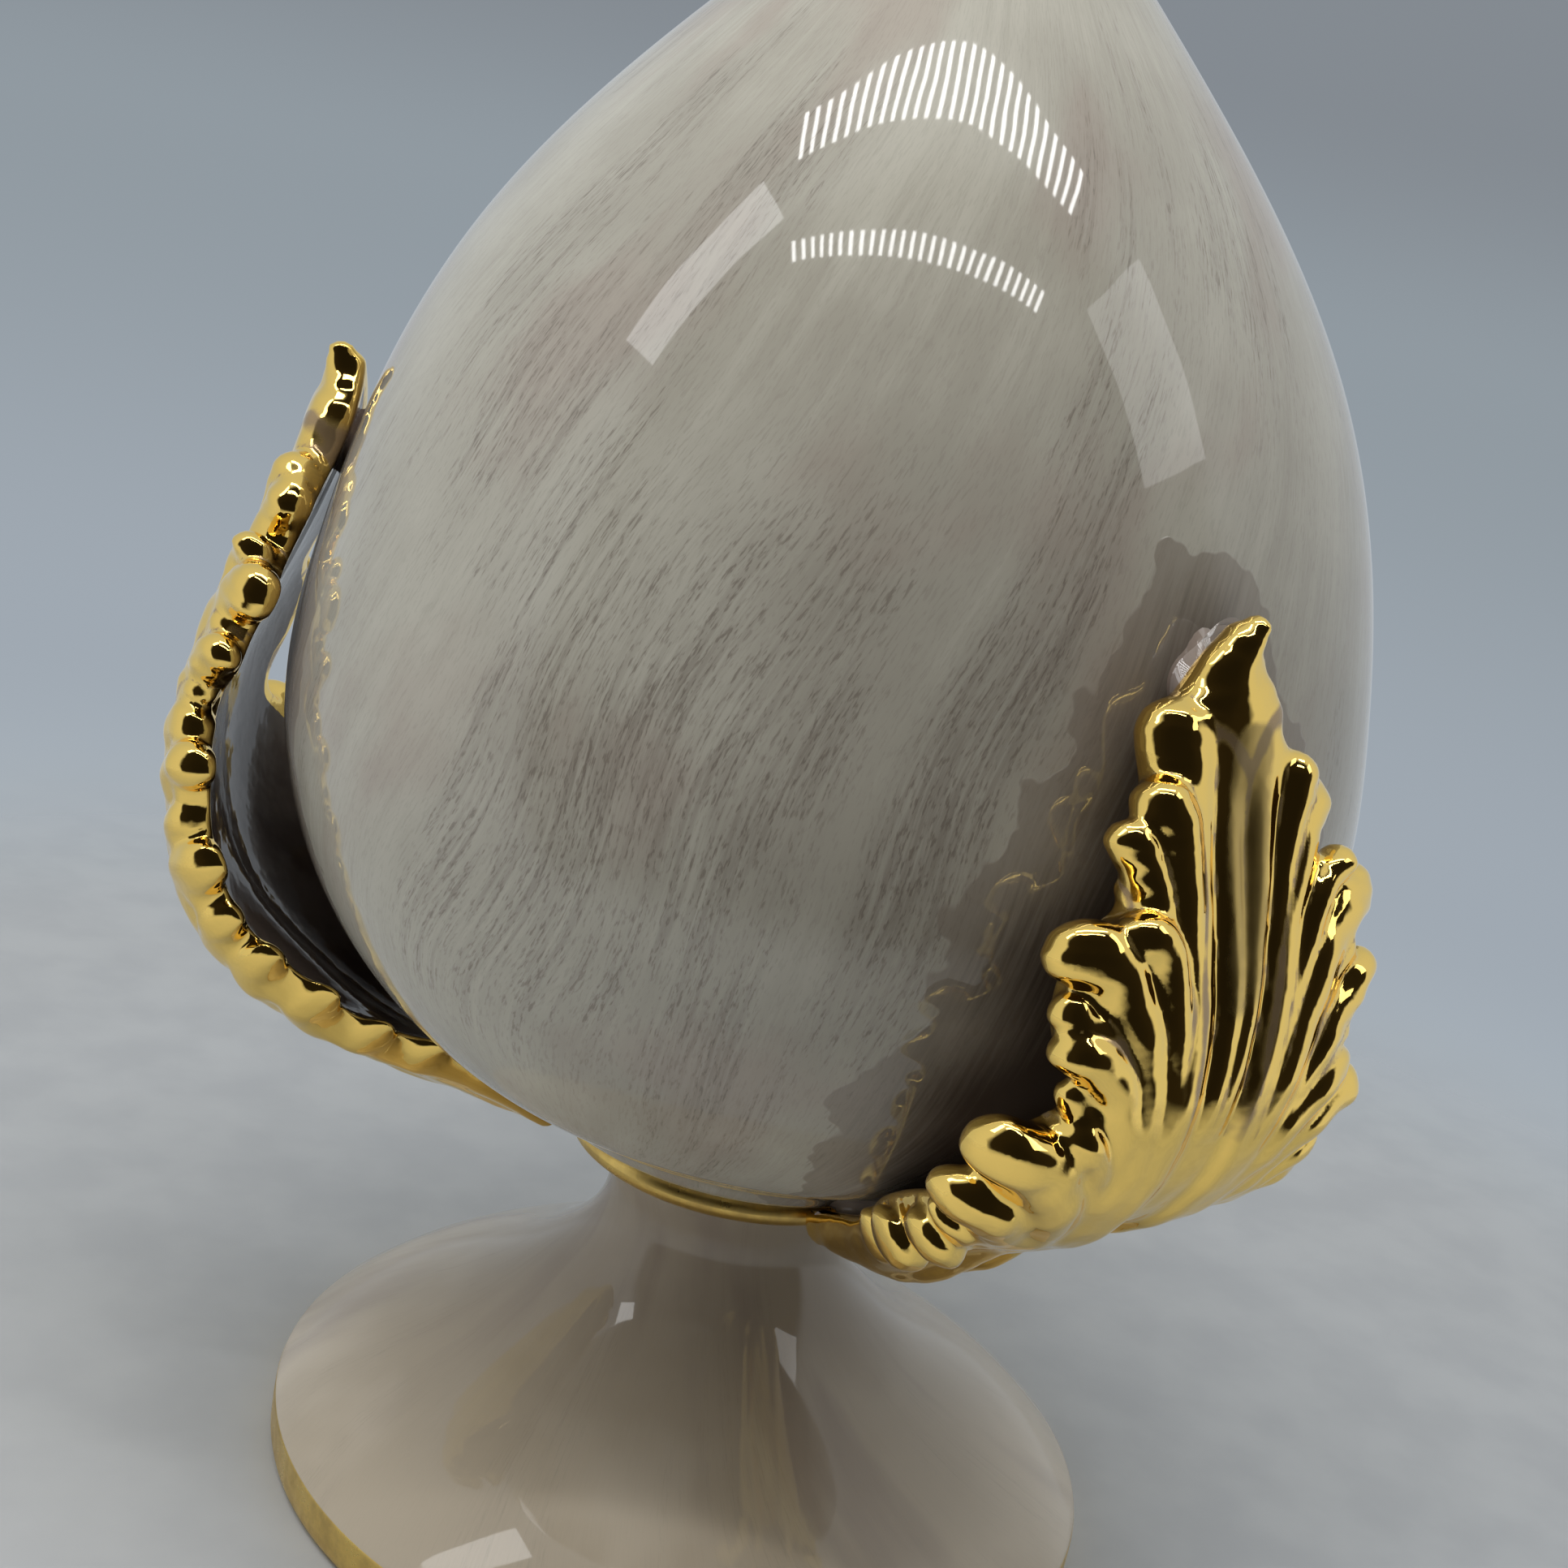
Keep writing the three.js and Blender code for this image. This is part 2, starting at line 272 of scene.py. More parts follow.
def pool_round_leaves(s, place, fine, body, relief, pool_colour, wash_and_shade_colour):
    """Colour and relief with a scalloped pool of glaze round each leaf, and a dark wash fading from its edge
    that is partly a brown glaze wash and partly painted shade under and beside the leaf.
    """
    reach = s.mask("leaf_reach")
    scallop = s.maths("MULTIPLY", s.noise(place, 120.0, 2.0, 0.6), 9.0)
    edge = s.maths("SUBTRACT", s.maths("SUBTRACT", reach, 1.5), scallop)
    inside = s.ramp(edge, 0.25, -0.25)
    body = s.mix(s.maths("MULTIPLY", inside, 0.6), body, pool_colour)
    # painted shade: near-black under and beside each leaf, fading out from its edge, laid over a real brown
    # wash
    frayed = s.maths("ADD", reach, s.maths("MULTIPLY", fine, 9.0))
    deep = s.ramp(frayed, 11.0, -5.0)
    body = s.mix(s.maths("MULTIPLY", deep, 0.95), body, wash_and_shade_colour)
    return body, s.maths("ADD", relief, s.maths("MULTIPLY", inside, 0.12))


def glaze(name, colours, lean, brushed, pool=None, sweeps=(), painted_shade=None):
    """Dry-brushed glaze: soft clouds, grainy slanted strokes in bands, and warm tints.

    colours are pale, middle, dark and warm; lean is the slant of the strokes and brushed their strength.
    pool holds the colours of the glaze pool and of the dark wash round the leaves, which is partly painted
    shade;
    the last argument, painted shade darker upwards, holds the heights in millimetres where it begins and is
    full, and its depth."""
    pale, middle, dark, warm = colours
    s = Shader(name)
    place = s.place()
    brush = brushed_place(s, lean)
    height = s.height_of(place)
    broad = strokes(s, brush, 20, 60, 2.0)
    medium = strokes(s, brush, 3.2, 30)
    fine = strokes(s, brush, 0.8, 14, 4.0, 0.65)
    flecks = strokes(s, brush, 0.34, 1.6, 2.0, 0.6)
    cloud = s.noise(place, 26.0, 3.0, 0.55)

    clouded = s.maths("MULTIPLY", cloud, 1 - 0.4 * brushed)
    tone = s.maths("ADD", clouded, s.maths("MULTIPLY", medium, 0.22 * brushed))
    tone = s.maths("ADD", tone, s.maths("MULTIPLY", fine, 0.18 * brushed))
    body = s.mix(s.ramp(tone, 0.40, 0.60), middle, pale)
    tint = s.noise(s.vector("ADD", brush, (0.3, 0.1, 0.7)), 30.0, 3.0)
    body = s.mix(s.ramp(tint, 0.50, 0.68, 0.0, 0.5), body, warm)

    band = s.maths("MULTIPLY", s.ramp(broad, 0.46, 0.66, 0.0, 0.7), s.ramp(medium, 0.36, 0.60))
    band = add_sweeps(s, band, brush, height, medium, sweeps)
    smear = s.maths("MULTIPLY", band, s.ramp(fine, 0.30, 0.66), clamp=True)
    body = s.mix(s.maths("MULTIPLY", smear, 0.55 * brushed), body, dark)
    specks = s.maths("MULTIPLY", s.ramp(flecks, 0.50, 0.66), s.ramp(smear, 0.0, 0.5, 0.22, 1.0))
    body = s.mix(s.maths("MULTIPLY", specks, 0.55 * brushed), body, dark)

    # painted shade: the glaze is painted darker upwards between two heights, shade under the bud
    if painted_shade is not None:
        start, full, depth = painted_shade
        wavy_height = s.maths("ADD", height, s.maths("MULTIPLY", cloud, 0.012))
        body = s.mix(s.ramp(wavy_height, start * MM, full * MM, 0.0, depth), body, dark)
    relief = s.maths("MULTIPLY", s.noise(place, 45.0, 2.0), 0.5)
    if pool is not None:
        body, relief = pool_round_leaves(s, place, fine, body, relief, *pool)
    return s.finish(Base_Color=body, Roughness=0.035, Normal=s.bump(relief, 0.0005, 0.4))


def lustre(name, gold_colour, thin_and_shaded_colour, dusty_colour, roughness):
    """Gold lustre fired on glaze: mirror-bright, dusty on the spine, and brown and darker in the furrows,
    which is partly thin lustre and partly painted shade.

    Where the gilding stops, the brown glaze of the leaf's inner face shows."""
    s = Shader(name)
    place = s.place()
    ragged = s.maths("ADD", s.mask("gilded"), s.maths("MULTIPLY", s.noise(place, 260.0, 2.0), 0.5))
    gold = s.ramp(ragged, 0.70, 0.80)
    patch = s.noise(place, 130.0, 3.0, 0.6)
    # painted shade in the furrows between the rolls, over thinner brown lustre
    thin = s.ramp(s.maths("ADD", s.mask("furrow"), s.maths("MULTIPLY", patch, 0.9)), 0.95, 1.25)
    dusty = s.ramp(s.maths("ADD", s.mask("spine"), s.maths("MULTIPLY", patch, 0.8)), 1.0, 1.35)
    metal = s.mix(s.maths("MULTIPLY", thin, 0.75), gold_colour, thin_and_shaded_colour)
    metal = s.mix(s.maths("MULTIPLY", dusty, 0.6), metal, dusty_colour)
    mottle = s.ramp(s.noise(place, 90.0, 3.0), 0.35, 0.65)
    inner = s.mix(mottle, colour(0.16, 0.115, 0.09), colour(0.27, 0.215, 0.18))
    body = s.mix(gold, inner, metal)
    metallic = s.maths("MULTIPLY", gold, s.maths("SUBTRACT", 1.0, s.maths("MULTIPLY", thin, 0.35)))
    duller = s.maths("ADD", s.maths("MULTIPLY", dusty, 0.30), s.maths("MULTIPLY", thin, 0.10))
    rough = s.maths("ADD", duller, roughness)
    normal = s.bump(s.noise(place, 230.0, 2.0), 0.00035, 0.35)
    return s.finish(Base_Color=body, Metallic=metallic, Roughness=rough, Normal=normal)


def satin_gold(name):
    s = Shader(name)
    place = s.place()
    worn = s.noise(place, 220.0, 4.0, 0.65)
    body = s.mix(s.ramp(worn, 0.35, 0.7), colour(0.86, 0.61, 0.18), colour(0.66, 0.46, 0.15))
    rough = s.ramp(worn, 0.3, 0.75, 0.26, 0.42)
    normal = s.bump(s.noise(place, 300.0, 2.0), 0.0002, 0.4)
    return s.finish(Base_Color=body, Metallic=1.0, Roughness=rough, Normal=normal)


def bare_clay(name):
    s = Shader(name)
    place = s.place()
    tone = s.noise(place, 160.0, 5.0, 0.6)
    body = s.mix(s.ramp(tone, 0.3, 0.7), colour(0.56, 0.45, 0.36), colour(0.66, 0.56, 0.46))
    normal = s.bump(s.noise(place, 1400.0, 3.0), 0.00012, 0.6)
    return s.finish(Base_Color=body, Roughness=0.8, Normal=normal)


DARK = colour(0.15, 0.12, 0.095)
WARM = colour(0.37, 0.30, 0.25)
BUD_COLOURS = (colour(0.50, 0.478, 0.402), colour(0.40, 0.376, 0.312), DARK, WARM)
FOOT_COLOURS = (colour(0.66, 0.575, 0.45), colour(0.54, 0.46, 0.345), DARK, WARM)
JOINT_COLOURS = (colour(0.34, 0.29, 0.24), colour(0.22, 0.17, 0.14), DARK, WARM)
# the glaze pool's colour, then the near-black wash round the leaves, which is partly brown wash and partly
# painted shade
POOL_WASH_AND_SHADE = (colour(0.24, 0.20, 0.16), colour(0.055, 0.038, 0.026))
# The broad sweeps of the brush on the bud: the heading each follows in degrees, its half width, its
# middle height and reach in millimetres, and its depth of colour.
SWEEPS = ((-134, 6, 132, 48, 1.0), (-160, 20, 122, 52, 0.8))
BUD_GLAZE = glaze("bud_glaze", BUD_COLOURS, lean=-4.4, brushed=1.0, pool=POOL_WASH_AND_SHADE, sweeps=SWEEPS)
# the foot's glaze is painted darker from 14 to 44 mm up the stem, painted shade under the bud
FOOT_GLAZE = glaze("foot_glaze", FOOT_COLOURS, lean=9.0, brushed=0.2, painted_shade=(14, 44, 0.5))
JOINT_GLAZE = glaze("joint_glaze", JOINT_COLOURS, lean=0.0, brushed=0.2)
# the furrows' brown is partly thin lustre and partly painted shade
LEAF_GOLD = lustre("leaf_gold", gold_colour=colour(1.0, 0.70, 0.19), thin_and_shaded_colour=colour(0.24, 0.17, 0.15),
                   dusty_colour=colour(0.34, 0.25, 0.11), roughness=0.05)
SATIN_GOLD = satin_gold("satin_gold")
BARE_CLAY = bare_clay("bare_clay")

# ---- acanthus leaf ----
MIDRIB = Spline([
    [27.2, 53.9], [36, 57.2], [46.3, 60.4], [57.4, 65], [67.6, 72.2], [78.8, 81.8], [85.1, 94.6],
    [85.8, 108], [83, 118.7], [79.2, 129], [76.3, 138], [74, 147], [74.8, 157.5],
])
LEAF_LENGTH = MIDRIB.knots[-1]
# Fingers on each side from the tip down. Each is a rounded roll of clay that leaves the midrib low on
# the leaf and bends outwards: where its end lies (up, out), the end's radius, how far it stands up,
# how far its end curls forward, and how far it swings up the leaf before it comes back to its end.
LEFT_FINGERS = [
    (122.4, -8.6, 3.6, 1.2, 0.8, 3.0),
    (114.6, -11.2, 3.1, 2.0, 2.6, 5.0),
    (110.8, -15.0, 2.3, 1.3, 2.4, 3.5),
    (105.4, -12.6, 2.0, 0.8, 0.6, 1.5),
    (100.6, -13.8, 2.8, 2.2, 3.0, 6.0),
    (99.0, -20.0, 3.8, 1.6, 2.0, 4.5),
    (92.6, -20.6, 2.3, 1.1, 1.6, 3.0),
    (88.6, -20.0, 2.7, 1.8, 2.2, 4.5),
    (83.0, -18.4, 1.9, 0.8, 1.0, 1.5),
    (78.8, -17.4, 2.0, 1.5, 2.2, 3.0),
    (75.4, -24.2, 4.6, 1.6, 1.4, 3.5),
    (65.2, -24.0, 4.3, 1.3, 1.0, 3.0),
    (56.5, -22.0, 2.4, 0.9, 1.4, 1.5),
    (50.0, -20.8, 3.4, 1.6, 3.4, 2.0),
    (40.5, -19.6, 3.8, 1.6, 3.8, 2.0),
    (31.0, -15.6, 3.4, 1.0, 2.2, 1.5),
]
RIGHT_FINGERS = [
    (118.8, 9.8, 2.1, 1.8, 1.8, 3.5),
    (115.0, 13.0, 3.1, 1.4, 0.8, 3.5),
    (108.4, 17.0, 2.1, 1.8, 2.4, 5.0),
    (104.9, 22.4, 3.9, 1.3, 0.8, 5.5),
    (98.4, 19.8, 2.0, 1.0, 1.0, 2.0),
    (96.2, 24.8, 2.7, 1.3, 1.2, 3.0),
    (89.2, 20.5, 2.0, 0.8, 1.0, 1.5),
    (84.2, 21.0, 3.3, 1.4, 0.8, 4.0),
    (80.2, 26.0, 3.5, 1.2, 0.5, 3.5),
    (72.0, 24.0, 2.8, 0.9, 1.0, 2.0),
    (65.5, 26.0, 4.1, 1.0, 0.4, 3.5),
    (57.0, 24.5, 3.0, 1.0, 0.6, 2.0),
    (49.5, 24.0, 3.2, 1.0, 0.6, 2.0),
    (40.5, 22.2, 3.2, 1.0, 0.4, 2.0),
    (31.0, 18.5, 3.1, 0.8, 0.2, 1.5),
    (22.5, 14.0, 3.0, 0.6, 0.0, 1.0),
]
# The thin body's edge, up the leaf and out to each side; it dips at the main notches.
LEFT_EDGE = [
    [0, 5.0], [12, 7.2], [23, 9.8], [32, 15.8], [44, 19.8], [55, 21.8], [61, 21.8], [69, 24], [76, 22.5],
    [82, 17], [89, 20.2], [95, 20.4], [100, 18], [105, 12.6], [111, 13.2], [116.5, 9.2], [121, 9.4],
    [126, 5.5], [134, 0.8],
]
RIGHT_EDGE = [
    [0, 6.5], [12, 11.5], [24, 15.5], [34, 20], [46, 23.8], [55, 24.4], [63, 25.6], [70, 25.4], [77, 25.8],
    [83, 23], [88, 18.5], [95, 23.8], [100, 21.5], [105, 21.5], [110, 14], [115, 13], [120, 8.2],
    [126, 5.5], [134, 0.8],
]
SPINE_FOOT = 79
SHEET_HALF = 1.8
EDGE_ROUNDING = 1.4
EDGE_OVERHANG = 0.3
UNDERSIDE = -1.7
FIELD_LOW = (-2.0, -33.0, -4.0)
FIELD_HIGH = (LEAF_LENGTH + 4, 33.0, 9.5)
GRID = 0.5
# How each leaf was set by hand, in millimetres: how far its belly is pressed in, how much higher and how
# much closer the whole leaf stands, and how far its right edge is opened.
SETTINGS = ((7.0, -1.0, 0.0, 0.0), (1.0, 1.0, 0.0, 0.0), (-4.0, 2.5, 2.2, 7.0))


def leaf_point(along, out, raised):
    """Out from the midrib along the leaf's cupped section, and raised from its middle surface."""
    share = along / LEAF_LENGTH
    rib = MIDRIB(share)
    run = MIDRIB(share, slope=True)
    run = run / np.linalg.norm(run, axis=-1, keepdims=True)
    cup = TIP_CUPPING + ROOT_CUPPING * np.exp(-(along / CUPPING_FADE) ** 2)
    lift = raised - (1 - np.cos(cup * out)) / cup
    before = np.minimum(along, 0) + np.maximum(along - LEAF_LENGTH, 0)
    return np.stack([
        rib[..., 0] + run[..., 0] * before + run[..., 1] * lift,
        np.sin(cup * out) / cup,
        rib[..., 1] + run[..., 1] * before - run[..., 0] * lift,
    ], axis=-1)


def finger_path(up, out, hook):
    """From low beside the midrib, up close to it, then over and outwards to the finger's end."""
    steps = np.linspace(0, 1, 36)
    start = up * 0.2
    root = np.sign(out) * lerp(4.5, 3.6, smoothstep(up, 20, 100))
    # rises to about 1 at four fifths of the way, then falls back to 0 at the end
    rise_and_fall = 12.15 * steps ** 4 * (1 - steps)
    along = lerp(start, up, steps) + hook * rise_and_fall
    drift = lerp(0.62, 0.30, smoothstep(up, 20, 115))
    sideways = root + (out - root) * (drift * steps + (1 - drift) * steps ** 4.5)
    return along, sideways, steps


def nearest_on_path(along, out, path):
    """For points in the leaf's plane: distance to the path and how far along it the nearest place is."""
    best = np.full(along.shape, 1e9)
    where = np.zeros(along.shape)
    ups, outs, steps = path
    for i in range(len(ups) - 1):
        line_up, line_out = ups[i + 1] - ups[i], outs[i + 1] - outs[i]
        t = ((along - ups[i]) * line_up + (out - outs[i]) * line_out) / (line_up ** 2 + line_out ** 2)
        t = np.clip(t, 0, 1)
        gap = np.hypot(along - ups[i] - t * line_up, out - outs[i] - t * line_out)
        closer = gap < best
        best = np.where(closer, gap, best)
        where = np.where(closer, lerp(steps[i], steps[i + 1], t), where)
    return best, where


def signed_outline_distance(along, out, outline):
    """Distance to a closed outline in a plane, negative inside."""
    nearest = np.full(along.shape, 1e9)
    inside = np.zeros(along.shape, bool)
    for p, q in zip(outline, np.roll(outline, -1, axis=0)):
        line = q - p
        t = ((along - p[0]) * line[0] + (out - p[1]) * line[1]) / (line @ line + 1e-12)
        t = np.clip(t, 0, 1)
        nearest = np.minimum(nearest, np.hypot(along - p[0] - t * line[0], out - p[1] - t * line[1]))
        crosses = (p[1] > out) != (q[1] > out)
        slope = (q[0] - p[0]) / (q[1] - p[1] if abs(q[1] - p[1]) > 1e-9 else 1e-9)
        inside ^= crosses & (along < p[0] + slope * (out - p[1]))
    return np.where(inside, -nearest, nearest)


def smooth_path(places):
    """A smooth path in the leaf's plane through a few places, with the share of its length at each step."""
    steps = np.linspace(0, 1, 30)
    ups, outs = Spline(places)(steps).T
    return ups, outs, steps


def spine_rolls(along, out, height):
    """Two flat rolls side by side make the broad grooved spine, which widens towards the tip."""
    layers = []
    for side in (-1, 1):
        path = smooth_path([
            [SPINE_FOOT, 0.8 * side + 0.3], [90, 1.3 * side + 0.7], [103, 1.9 * side + 0.8],
            [115, 2.7 * side + 0.6], [124, 2.6 * side - 0.4],
        ])
        gap, where = nearest_on_path(along, out, path)
        width = lerp(1.8, 3.5, smoothstep(where, 0.05, 0.85))
        tall = lerp(2.2, 2.9, smoothstep(where, 0.0, 0.4))
        layers.append(ellipse_distance(gap, width, tall, 0.7 + 0.3 * where, height))
    return layers


def hood(along, out, height):
    """The tip: a pointed hood that rises to a ridge and leans over to one side."""
    path = smooth_path([[104, 0.8], [113, 0.7], [121, 0.0], [127, -1.2], [131.5, -1.5], [135.5, 0.6]])
    gap, where = nearest_on_path(along, out, path)
    width = lerp(2.4, 6.0, smoothstep(where, 0.1, 0.7)) * lerp(1, 0.16, smoothstep(where, 0.62, 1.0))
    tall = lerp(1.2, 3.8, smoothstep(where, 0.15, 0.7)) * lerp(1, 0.4, smoothstep(where, 0.7, 1.0))
    return ellipse_distance(gap, width, tall, 0.4 + 1.2 * where ** 2, height)


def outline_distance(along, out):
    """Distance outside the thin body's edge, negative inside."""
    steps = np.linspace(0, 1, 120)
    right = Spline(RIGHT_EDGE)(steps)
    left = Spline(LEFT_EDGE)(steps[::-1]) * (1, -1)
    return signed_outline_distance(along, out, np.concatenate([right, left])) - EDGE_OVERHANG


def sheet(along, out, edge, height):
    """The leaf's thin body under the fingers, with a mound low on the leaf and a thickened rim."""
    swell = 0.9 * np.exp(-(out / 8) ** 2) * smoothstep(along, 10, 45) * (1 - smoothstep(along, 72, 96))
    swell = swell + 1.3 * np.exp(-((edge + 1.8) / 2.2) ** 2)
    over = np.maximum(edge + EDGE_ROUNDING, 0)[:, :, None]
    beside = np.abs(height - swell[:, :, None] / 2) - (SHEET_HALF + swell / 2 - EDGE_ROUNDING)[:, :, None]
    return np.hypot(over, np.maximum(beside, 0)) - EDGE_ROUNDING


def pinches(along, out, edge):
    """Shallow dents and lumps left by the hand that modelled the leaf, and fine creases round its edge."""
    waves = np.sin(0.42 * along + 0.33 * out) * np.sin(0.50 * out - 0.17 * along + 1.7)
    waves = waves + 0.4 * np.sin(0.85 * along - 0.5 * out + 0.6) * np.sin(0.37 * along + 0.8 * out)
    creases = np.sin(2.2 * along + 2.4 * np.sin(0.37 * along + 0.2 * out))
    near_rim = smoothstep(edge, -4.5, -0.5) * smoothstep(along, 26, 40)
    away_from_spine = lerp(0.3, 1.0, smoothstep(np.abs(out), 6, 18))
    return 0.28 * waves * away_from_spine + 0.10 * creases * near_rim


def leaf_field(along, out, height):
    """How far outside the clay each place is, in millimetres, and how deep in a furrow."""
    layers = spine_rolls(along, out, height)
    layers.append(hood(along, out, height))
    for up, end, radius, stand, curl, hook in LEFT_FINGERS + RIGHT_FINGERS:
        gap, where = nearest_on_path(along, out, finger_path(up, end, hook))
        width = radius * lerp(0.5, 1.0, smoothstep(where, 0.15, 0.95))
        tall = lerp(2.0, 0.64 * radius + 0.70, smoothstep(where, 0.2, 0.95)) + 0.35 * stand
        middle = lerp(0.5, 0.1 + 0.35 * stand, where) + curl * smoothstep(where, 0.72, 1.0)
        layers.append(ellipse_distance(gap, width, tall, middle, height))
    rolls = np.stack(layers)
    under = UNDERSIDE - height
    edge = outline_distance(along, out)
    everything = np.concatenate([np.maximum(rolls, under), sheet(along, out, edge, height)[None]])
    blend = lerp(0.6, 0.2, smoothstep(along, 45, 85)) + 0.7 * smoothstep(along, 110, 120)
    blend = blend[:, :, None]
    joined = -blend * np.log(np.exp(-np.clip(everything, -6, 6) / blend).sum(axis=0))
    joined = joined + pinches(along, out, edge)[:, :, None] * smoothstep(height, -1.5, 1.0)
    nearest_two = np.partition(rolls, 1, axis=0)
    furrow = np.exp(-(nearest_two[1] - nearest_two[0]) / 0.5)
    return np.maximum(joined, under), furrow


def ellipse_distance(gap, width, tall, middle, height):
    """Rough distance outside a roll of elliptical section."""
    sideways = (gap / width)[:, :, None]
    upwards = (height - np.asarray(middle)[..., None]) / tall[..., None]
    shape = np.hypot(sideways, upwards)
    return (shape - 1) * np.minimum(width, tall)[..., None]


def surface_net(field, low, step):
    """Points and quads on the zero surface of a field on a grid: one point per crossed cell."""
    inside = field < 0
    corners = [(i, j, k) for i in (0, 1) for j in (0, 1) for k in (0, 1)]
    shape = tuple(size - 1 for size in field.shape)

    def corner(values, at):
        return values[at[0]:at[0] + shape[0], at[1]:at[1] + shape[1], at[2]:at[2] + shape[2]]

    count = sum(corner(inside, at).astype(int) for at in corners)
    crossed = (count > 0) & (count < 8)
    total = np.zeros(shape + (3,))
    crossings = np.zeros(shape)
    for at in corners:
        for axis in range(3):
            if at[axis]:
                continue
            other = tuple(at[i] + (i == axis) for i in range(3))
            a, b = corner(field, at), corner(field, other)
            changes = (a < 0) != (b < 0)
            t = np.where(changes, a / np.where(changes, a - b, 1), 0)
            for i in range(3):
                total[..., i] += np.where(changes, at[i] + (t if i == axis else 0), 0)
            crossings += changes
    cells = np.argwhere(crossed)
    number = np.full(shape, -1)
    number[crossed] = np.arange(len(cells))
    points = low + step * (cells + total[crossed] / crossings[crossed][:, None])
    quads = []
    for axis in range(3):
        b_axis, c_axis = (axis + 1) % 3, (axis + 2) % 3
        first = [slice(None)] * 3
        second = [slice(None)] * 3
        first[axis], second[axis] = slice(0, -1), slice(1, None)
        changes = inside[tuple(first)] != inside[tuple(second)]
        starts = inside[tuple(first)]
        keep = np.argwhere(changes)
        keep = keep[(keep[:, b_axis] > 0) & (keep[:, c_axis] > 0)]
        flip = starts[tuple(keep.T)]

        def cell(back_b, back_c):
            at = keep.copy()
            at[:, b_axis] -= back_b
            at[:, c_axis] -= back_c
            return number[tuple(at.T)]

        ring = np.stack([cell(0, 0), cell(1, 0), cell(1, 1), cell(0, 1)], -1)
        ring = np.where(flip[:, None], ring[:, ::-1], ring)
        quads.append(ring)
    return points, np.concatenate(quads)


def leaf_shape():
    """The leaf in its own flat coordinates: points (up, out, raised) and quads, then for each point how deep
    in a furrow it lies and how far outside the thin body's edge."""
    low = np.array(FIELD_LOW)
    axes = [np.arange(low[i], FIELD_HIGH[i], GRID) for i in range(3)]
    along, out = np.meshgrid(axes[0], axes[1], indexing="ij")
    field, furrow = leaf_field(along, out, axes[2][None, None, :])
    for axis in range(3):
        field = (np.roll(field, 1, axis) + 2 * field + np.roll(field, -1, axis)) / 4
    points, quads = surface_net(field, low, GRID)
    edge = outline_distance(points[:, 0], points[:, 1])
    return points, quads.tolist(), sampled(furrow, (points - low) / GRID), edge


def sampled(values, places):
    """Values on a grid, read smoothly between its corners."""
    base = np.clip(np.floor(places).astype(int), 0, np.array(values.shape) - 2)
    part = places - base
    total = 0
    for i in (0, 1):
        for j in (0, 1):
            for k in (0, 1):
                weight = np.abs(1 - i - part[:, 0]) * np.abs(1 - j - part[:, 1]) * np.abs(1 - k - part[:, 2])
                total = total + weight * values[base[:, 0] + i, base[:, 1] + j, base[:, 2] + k]
    return total


def turn_about(points, degrees):
    angle = math.radians(degrees)
    turn = np.array([
        [math.cos(angle), -math.sin(angle), 0],
        [math.sin(angle), math.cos(angle), 0],
        [0, 0, 1],
    ])
    return points @ turn.T


def make_leaf(number, angle, shape, setting):
    points, faces, furrow, edge = shape
    along, out, raised = points.T
    belly, higher, closer, opened = setting
    pressed = belly * np.exp(-((along - 44) / 22) ** 2 - ((out - 4) / 22) ** 2)
    lifted = opened * smoothstep(out, 4, 22) * np.exp(-((along - 42) / 26) ** 2)
    moved = smoothstep(along, 0, 45)[:, None] * (-closer, 0, higher)
    placed = turn_about(leaf_point(along, out, raised - pressed + lifted) + moved, angle)
    piece = make_object(f"acanthus_leaf_{number}", placed, faces, [LEAF_GOLD])
    outer_face = smoothstep(raised, UNDERSIDE - 0.02, -0.9)
    round_rim = smoothstep(edge, -4.2, -0.6)
    add_mask(piece, "gilded", np.maximum(outer_face, round_rim))
    add_mask(piece, "furrow", furrow * smoothstep(along, 60, 90))
    on_spine = np.exp(-((out - 0.7) / 4.2) ** 4) * smoothstep(along, 80, 100) * smoothstep(along, 128, 122)
    add_mask(piece, "spine", on_spine)
    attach(piece, "root")
    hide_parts(f"leaf_{number}")


# ---- bud ----
NECK_HOLE = 13
LIP_RADIUS = 20.9
BUD_SIDE = [
    [24.8, 56.5], [27.4, 56.9], [33.7, 61.1], [45.5, 67.6], [55.9, 75.3], [68.7, 92.9], [BUD_RADIUS, 114],
    [72.1, 135.2], [67, 156.4], [57.9, 177.5], [42.9, 198.6], [25.5, 217.5], [12.2, 231.5],
    [5, 241.5], [1.8, 248], [0, TOTAL_HEIGHT],
]
BUD_INSIDE = [
    [NECK_HOLE, 60], [30, 65], [51, 78], [64, 95], [69, 114], [67, 135], [62, 155],
    [52.5, 175], [37.5, 195], [21, 212], [8, 226], [0, 232],
]
BUD_LINE = Spline(BUD_SIDE)
BUD_RINGS = 210
RIM_REACH = 2
ROUND_SEGMENTS = 288


def leaf_reach(points):
    """Distance in millimetres from each point to the nearest leaf's outline, negative behind the leaf."""
    right = np.array(RIGHT_EDGE) + (0, RIM_REACH)
    left = (np.array(LEFT_EDGE[::-1]) + (0, RIM_REACH)) * (1, -1)
    along, out = np.concatenate([right, left]).T
    outline = leaf_point(along, out, 0)[:, 1:]
    heading = np.arctan2(points[:, 1], points[:, 0])
    best = np.full(len(points), 1e3)
    for angle in LEAF_ANGLES:
        turn = (heading - math.radians(angle) + math.pi) % (2 * math.pi) - math.pi
        aside = turn * np.maximum(np.hypot(points[:, 0], points[:, 1]), 20)
        best = np.minimum(best, signed_outline_distance(aside, points[:, 2], outline))
    return best


